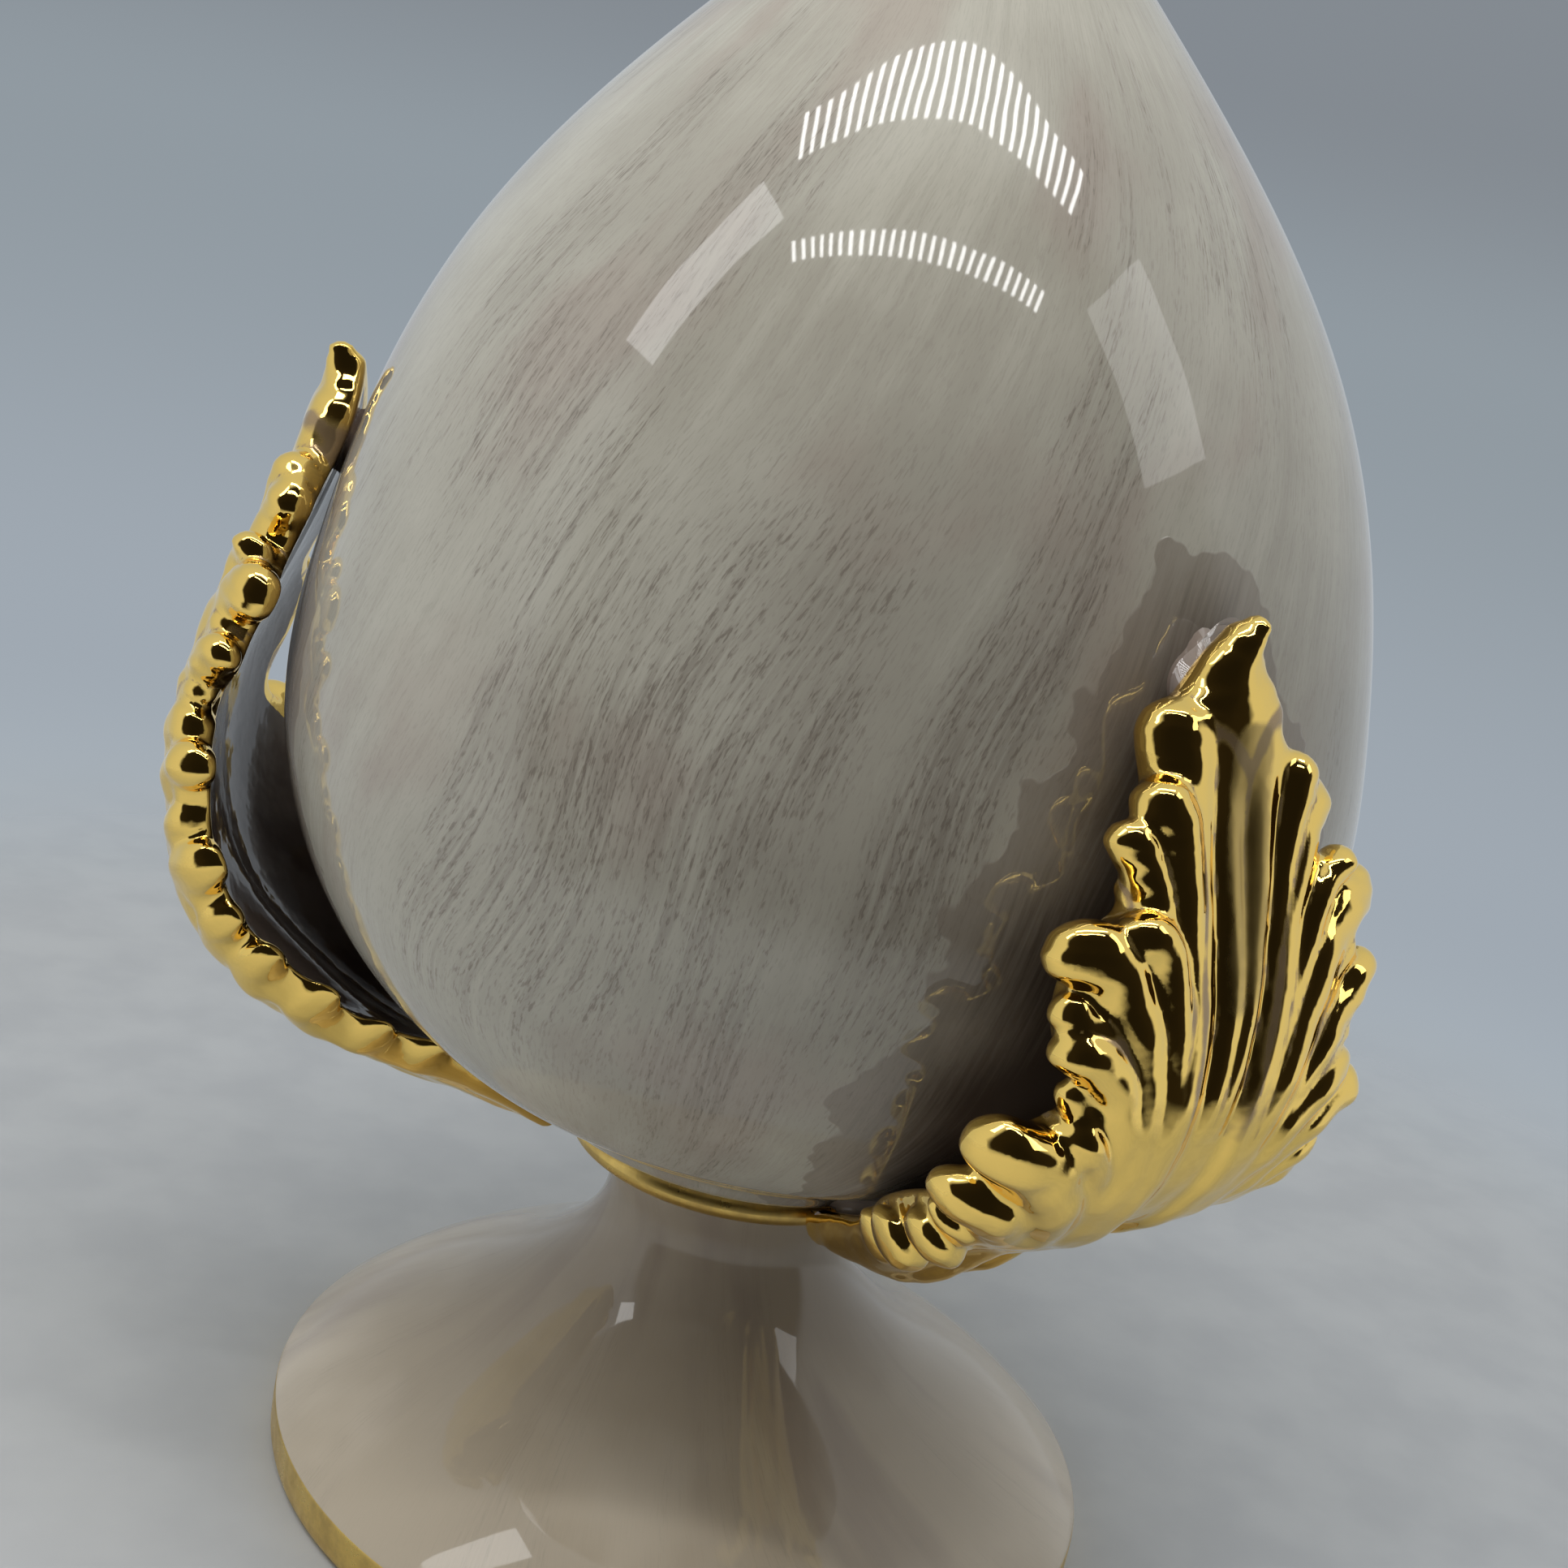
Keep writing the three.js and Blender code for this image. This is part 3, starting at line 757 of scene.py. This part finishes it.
def make_bud():
    inner = Spline(BUD_INSIDE)(np.linspace(0, 1, 70))[::-1]
    lip_height = NECK_HEIGHT + 0.2
    lip = [(NECK_HOLE, lip_height), (LIP_RADIUS, lip_height), (LIP_RADIUS, 55.4), (LIP_RADIUS + 1.3, 56.5)]
    outer = BUD_LINE(np.linspace(0, 1, BUD_RINGS))
    profile = [*inner, *lip, *outer]
    profile[0] = (0, profile[0][1])
    profile[-1] = (0, TOTAL_HEIGHT)
    points, faces = turned(profile, ROUND_SEGMENTS)
    piece = make_object("bud", points, faces, [BUD_GLAZE])
    add_mask(piece, "leaf_reach", leaf_reach(points))
    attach(piece, "root")
    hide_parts("bud_shell")


# ---- foot and stem ----
FOOT_SIDE = [
    [20.7, 51.6], [18.1, 45.1], [19.6, 38.2], [24.7, 31.7], [30.6, 26.8], [38.4, 21.8],
    [48.5, 16.2], [57.2, 10.4], [FOOT_RADIUS - 0.3, 6.6],
]
BASE_THICKNESS = 5
FOOT_INSIDE = [[12.6, 45], [14.5, 37], [20, 29.5], [30, 22], [44, 13.5], [54, 7.5], [55.5, BASE_THICKNESS]]
STEM_TOP = 20.6
VENT_RADIUS = 2.5
VENT_OFFSET = 22
GILDED_RIM_HEIGHT = 6.35
GILDED_RIM_WIDTH = 1.4


def drill_vent(piece):
    """Cut the firing vent through the foot's closed base."""
    low, high = -3, BASE_THICKNESS + 3
    points, faces = turned([(0, low), (VENT_RADIUS, low), (VENT_RADIUS, high), (0, high)], 30)
    drill = make_object("vent_drill", points + (0, VENT_OFFSET, 0), faces, [])
    cut = piece.modifiers.new("vent", "BOOLEAN")
    cut.object = drill
    cut.operation = "DIFFERENCE"
    cut.solver = "EXACT"
    depsgraph = bpy.context.evaluated_depsgraph_get()
    mesh = bpy.data.meshes.new_from_object(piece.evaluated_get(depsgraph))
    piece.modifiers.clear()
    piece.data = mesh
    bpy.data.objects.remove(drill)


def make_foot():
    inner = Spline(FOOT_INSIDE)(np.linspace(0, 1, 40))[::-1]
    top = FOOT_HIGH.z / MM
    outer = Spline(FOOT_SIDE)(np.linspace(0, 1, 90))
    rim = [
        (FOOT_RADIUS - 0.1, 6.3), (FOOT_RADIUS, 5.9), (FOOT_RADIUS, 5.7), (FOOT_RADIUS + 0.05, 3.5),
        (FOOT_RADIUS, 1.4), (FOOT_RADIUS - 0.2, 0.7), (FOOT_RADIUS - 0.7, 0.2), (FOOT_RADIUS - 1.3, 0),
    ]
    base = [(55, 0), (40, 0), (20, 0), (0, 0)]
    profile = [(0, BASE_THICKNESS), *inner, (NECK_HOLE, top), (STEM_TOP, top), *outer, *rim, *base]
    points, faces = turned(profile, ROUND_SEGMENTS)
    piece = make_object("foot", points, faces, [FOOT_GLAZE, SATIN_GOLD, BARE_CLAY])
    drill_vent(piece)
    for polygon in piece.data.polygons:
        corners = np.array([piece.data.vertices[i].co for i in polygon.vertices]) / MM
        radius = np.hypot(corners[:, 0], corners[:, 1])
        lowest, highest = corners[:, 2].min(), corners[:, 2].max()
        vent_wall = lowest < 0.01 and radius.max() < VENT_OFFSET + VENT_RADIUS + 1.5
        if radius.min() > FOOT_RADIUS - GILDED_RIM_WIDTH and highest < GILDED_RIM_HEIGHT:
            polygon.material_index = 1
        elif highest < 0.01 or vent_wall:
            polygon.material_index = 2
    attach(piece, "root")
    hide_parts("foot_and_stem")


def make_bead():
    turn = np.linspace(0, 2 * math.pi, 25)
    profile = [(BEAD_RING_RADIUS + BEAD_RADIUS * math.cos(t), NECK_HEIGHT + BEAD_RADIUS * math.sin(t))
               for t in turn]
    points, faces = turned(profile, ROUND_SEGMENTS)
    piece = make_object("neck_bead_coil", points, faces, [SATIN_GOLD])
    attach(piece, "root")
    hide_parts("neck_bead")


# ---- clay joints between leaf and bud ----
JOINT_SINK = 0.4
JOINT_PLACES = {
    "tip_lug": (LEAF_LENGTH - 12, 6.0, 5.4),
    "root_pad": (9.5, 7.5, 7.0),
}


def half_thickness(along):
    return lerp(ROOT_THICKNESS, LEAF_THICKNESS, smoothstep(along, 0, ROOT_TAPER)) / 2


def nearest_on_bud(points, sink):
    """The bud's nearest places to the points, sunk a little under its surface."""
    samples = np.linspace(0, 1, 900)
    line = BUD_LINE(samples)
    run = BUD_LINE(samples, slope=True)
    run = run / np.linalg.norm(run, axis=1, keepdims=True)
    flat = np.stack([np.hypot(points[:, 0], points[:, 1]), points[:, 2]], -1)
    pick = np.argmin(np.linalg.norm(flat[:, None] - line[None], axis=-1), axis=1)
    radius = line[pick, 0] - run[pick, 1] * sink
    height = line[pick, 1] + run[pick, 0] * sink
    scale = radius / flat[:, 0]
    return np.stack([points[:, 0] * scale, points[:, 1] * scale, height], -1)


def joint_mesh(middle, half_length, half_width, seed):
    """A fillet of clay from a leaf's inner face to the bud, waisted between the two."""
    sides, levels = 72, 22
    turn = np.linspace(0, 2 * math.pi, sides, endpoint=False)
    wobble = 1 + 0.07 * np.sin(3 * turn + seed) + 0.05 * np.sin(5 * turn + 2 * seed)
    rings = []
    for level in np.linspace(0, 1, levels):
        width = 0.72 + 0.42 * abs(2 * level - 1) ** 2.5
        along = middle + half_length * width * wobble * np.cos(turn)
        out = half_width * width * wobble * np.sin(turn)
        on_leaf = leaf_point(along, out, -half_thickness(along) + JOINT_SINK)
        rings.append(lerp(on_leaf, nearest_on_bud(on_leaf, JOINT_SINK), level))
    points = np.concatenate(rings)
    faces = []
    for level in range(levels - 1):
        for i in range(sides):
            j = (i + 1) % sides
            row = level * sides
            faces.append((row + j, row + i, row + sides + i, row + sides + j))
    faces.append(tuple(range(sides)))
    faces.append(tuple(reversed(range((levels - 1) * sides, levels * sides))))
    return points, faces


def make_joints(number, angle):
    for kind, (middle, half_length, half_width) in JOINT_PLACES.items():
        points, faces = joint_mesh(middle, half_length, half_width, number)
        piece = make_object(f"{kind}_fillet_{number}", turn_about(points, angle), faces, [JOINT_GLAZE])
        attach(piece, "root")
        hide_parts(f"leaf_{number}_{kind}")


make_foot()
make_bead()
make_bud()
LEAF_SHAPE = leaf_shape()
for leaf_number, (leaf_angle, leaf_setting) in enumerate(zip(LEAF_ANGLES, SETTINGS), start=1):
    make_leaf(leaf_number, leaf_angle, LEAF_SHAPE, leaf_setting)
    make_joints(leaf_number, leaf_angle)


# ---- studio, in metres but for the floor ----
CENTRE = Vector((0, 0, 0.13))
LAMP_HEIGHT = 0.66
# each row of lamps: how far back it is, half the depth of its lamps, and the power it gives to the scene
LAMP_ROWS = {"row_back": (-0.065, 0.032, 0.95), "row_front": (-0.25, 0.020, 1.0)}
LAMPS_IN_ROW = 27
LAMP_SPACING = 0.0185
FIRST_LAMP = -0.24
LAMP_HALF_WIDTH = 0.0034
FLOOR_HEIGHT_MM = -0.05


def bearing(right, back, up):
    """A place from how far right of, behind and above the object's base it is, as the camera sees it."""
    angle = math.radians(CAMERA_BEARING + 90)
    return Vector((
        right * math.cos(angle) - back * math.sin(angle),
        right * math.sin(angle) + back * math.cos(angle),
        up,
    ))


def make_camera():
    data = bpy.data.cameras.new("camera")
    data.lens = CAMERA_LENS
    data.sensor_width = 36
    data.clip_start = 0.01
    camera = bpy.data.objects.new("camera", data)
    bpy.context.scene.collection.objects.link(camera)
    ahead = bearing(-math.cos(CAMERA_TILT) * math.sin(CAMERA_PAN),
                    math.cos(CAMERA_TILT) * math.cos(CAMERA_PAN), -math.sin(CAMERA_TILT))
    level = bearing(math.cos(CAMERA_PAN), math.sin(CAMERA_PAN), 0)
    up = level.cross(ahead)
    right = level * math.cos(CAMERA_ROLL) + up * math.sin(CAMERA_ROLL)
    up = up * math.cos(CAMERA_ROLL) - level * math.sin(CAMERA_ROLL)
    place = bearing(0, -CAMERA_DISTANCE * MM, CAMERA_HEIGHT * MM)
    camera.matrix_world = Matrix((right, up, -ahead)).transposed().to_4x4()
    camera.matrix_world.translation = place
    bpy.context.scene.camera = camera


def area_light(name, place, size, power, mirrored=False):
    data = bpy.data.lights.new(name, "AREA")
    data.shape = "RECTANGLE"
    data.size, data.size_y = size
    data.energy = power
    lamp = bpy.data.objects.new(name, data)
    lamp.location = place
    lamp.rotation_euler = (CENTRE - place).to_track_quat("-Z", "Y").to_euler()
    lamp.visible_glossy = mirrored
    bpy.context.scene.collection.objects.link(lamp)


def make_floor():
    """A pale floor disc, painted paler towards the camera as a painted pool of light, that melts into the
    background.
    """
    s = Shader("floor_paper")
    place = s.place()
    mottle = s.ramp(s.noise(place, 55.0, 4.0), 0.3, 0.7)
    paper = s.mix(mottle, colour(0.46, 0.475, 0.485), colour(0.51, 0.525, 0.53))
    # painted light: the floor is painted paler towards the camera
    towards_camera = s.dot(place, bearing(-0.3, -1, 0))
    paper = s.mix(s.ramp(towards_camera, -0.02, 0.22), paper, colour(0.68, 0.685, 0.68))
    s.finish(Base_Color=paper, Roughness=0.55, Normal=s.bump(s.noise(place, 120.0, 3.0), 0.0003, 0.25))
    flat = s.vector("MULTIPLY", place, (1, 1, 0))
    radius = s.add("VectorMath", {0: flat}, output="Value", operation="LENGTH")
    clear = s.add("BsdfTransparent")
    melted = s.add("MixShader", {0: s.ramp(radius, 0.20, 0.36), 1: s.surface.outputs[0], 2: clear})
    s.links.new(melted, s.nodes["Material Output"].inputs["Surface"])
    points, faces = turned([(0, FLOOR_HEIGHT_MM), (100, FLOOR_HEIGHT_MM), (400, FLOOR_HEIGHT_MM)], 96)
    floor = make_object("floor", points, faces, [s.material])


def make_led_rows():
    """Two rows of small lamps overhead, seen only in the glaze's reflections."""
    s = Shader("led")
    glow = s.add("Emission", {"Color": colour(1, 1, 1), "Strength": 16.0})
    s.links.new(glow, s.nodes["Material Output"].inputs["Surface"])
    points, faces = [], []
    for back, half_depth, _ in LAMP_ROWS.values():
        for i in range(LAMPS_IN_ROW):
            centre = bearing(FIRST_LAMP + i * LAMP_SPACING, back, LAMP_HEIGHT)
            along = bearing(LAMP_HALF_WIDTH, 0, 0)
            deep = bearing(0, half_depth, 0)
            start = len(points)
            for a, b in ((-1, -1), (-1, 1), (1, 1), (1, -1)):
                points.append(tuple((centre + a * along + b * deep) / MM))
            faces.append((start, start + 1, start + 2, start + 3))
    rows = make_object("led_rows", points, faces, [s.material], smooth=False)
    rows.visible_camera = False
    rows.visible_diffuse = False
    rows.visible_shadow = False


def make_world():
    """Pale walls to the sides and behind, a dark room in front, and a blue-grey backdrop past the object."""
    world = bpy.data.worlds.new("studio")
    world.use_nodes = True
    bpy.context.scene.world = world
    nodes, links = world.node_tree.nodes, world.node_tree.links
    nodes.clear()
    place = nodes.new("ShaderNodeTexCoord").outputs["Generated"]
    towards_front = nodes.new("ShaderNodeVectorMath")
    towards_front.operation = "DOT_PRODUCT"
    towards_front.inputs[1].default_value = bearing(0.20, -0.97, 0.14)
    links.new(place, towards_front.inputs[0])
    split = nodes.new("ShaderNodeSeparateXYZ")
    links.new(place, split.inputs[0])

    def ramp(value, stops):
        """Colours at stops from 0 to 1, for a value that runs from -1 to 1."""
        node = nodes.new("ShaderNodeValToRGB")
        node.color_ramp.interpolation = "EASE"
        elements = node.color_ramp.elements
        elements[0].position, elements[0].color = stops[0][0], stops[0][1]
        elements[1].position, elements[1].color = stops[-1][0], stops[-1][1]
        for at, tint in stops[1:-1]:
            elements.new(at).color = tint
        half = nodes.new("ShaderNodeMath")
        half.operation = "MULTIPLY_ADD"
        half.inputs[1].default_value = 0.5
        half.inputs[2].default_value = 0.5
        links.new(value, half.inputs[0])
        links.new(half.outputs[0], node.inputs[0])
        return node.outputs[0]

    room = ramp(towards_front.outputs["Value"], [
        (0.0, colour(0.50, 0.54, 0.58)), (0.62, colour(0.66, 0.68, 0.70)),
        (0.70, colour(0.02, 0.016, 0.012)), (1.0, colour(0.012, 0.010, 0.008)),
    ])
    backdrop = ramp(split.outputs["Z"], [
        (0.0, colour(0.46, 0.51, 0.55)), (0.30, colour(0.44, 0.49, 0.53)),
        (0.38, colour(0.35, 0.395, 0.445)), (0.49, colour(0.282, 0.323, 0.358)),
        (0.545, colour(0.231, 0.256, 0.284)), (1.0, colour(0.15, 0.17, 0.19)),
    ])
    path = nodes.new("ShaderNodeLightPath")
    seen = nodes.new("ShaderNodeMix")
    seen.data_type = "RGBA"
    share = seen.inputs[0]
    first_colour, second_colour, mixed_colour = seen.inputs[6], seen.inputs[7], seen.outputs[2]
    links.new(path.outputs["Is Camera Ray"], share)
    links.new(room, first_colour)
    links.new(backdrop, second_colour)
    background = nodes.new("ShaderNodeBackground")
    links.new(mixed_colour, background.inputs["Color"])
    output = nodes.new("ShaderNodeOutputWorld")
    links.new(background.outputs[0], output.inputs["Surface"])


make_camera()
make_world()
make_floor()
make_led_rows()
for row_name, (row_back, _, row_power) in LAMP_ROWS.items():
    area_light(row_name, bearing(0, row_back, LAMP_HEIGHT), (0.50, 0.02), row_power)
area_light("wall_left", bearing(-0.40, -0.20, 0.55), (0.30, 0.30), 0.25)
area_light("front_fill", bearing(-0.42, -0.50, 0.05), (0.6, 0.4), 0.8)
area_light("window_left", bearing(-0.36, -0.18, 0.56), (0.09, 0.26), 0.28, mirrored=True)
area_light("window_right", bearing(0.40, -0.13, 0.52), (0.16, 0.24), 0.22, mirrored=True)
bpy.context.scene.view_settings.view_transform = "Standard"
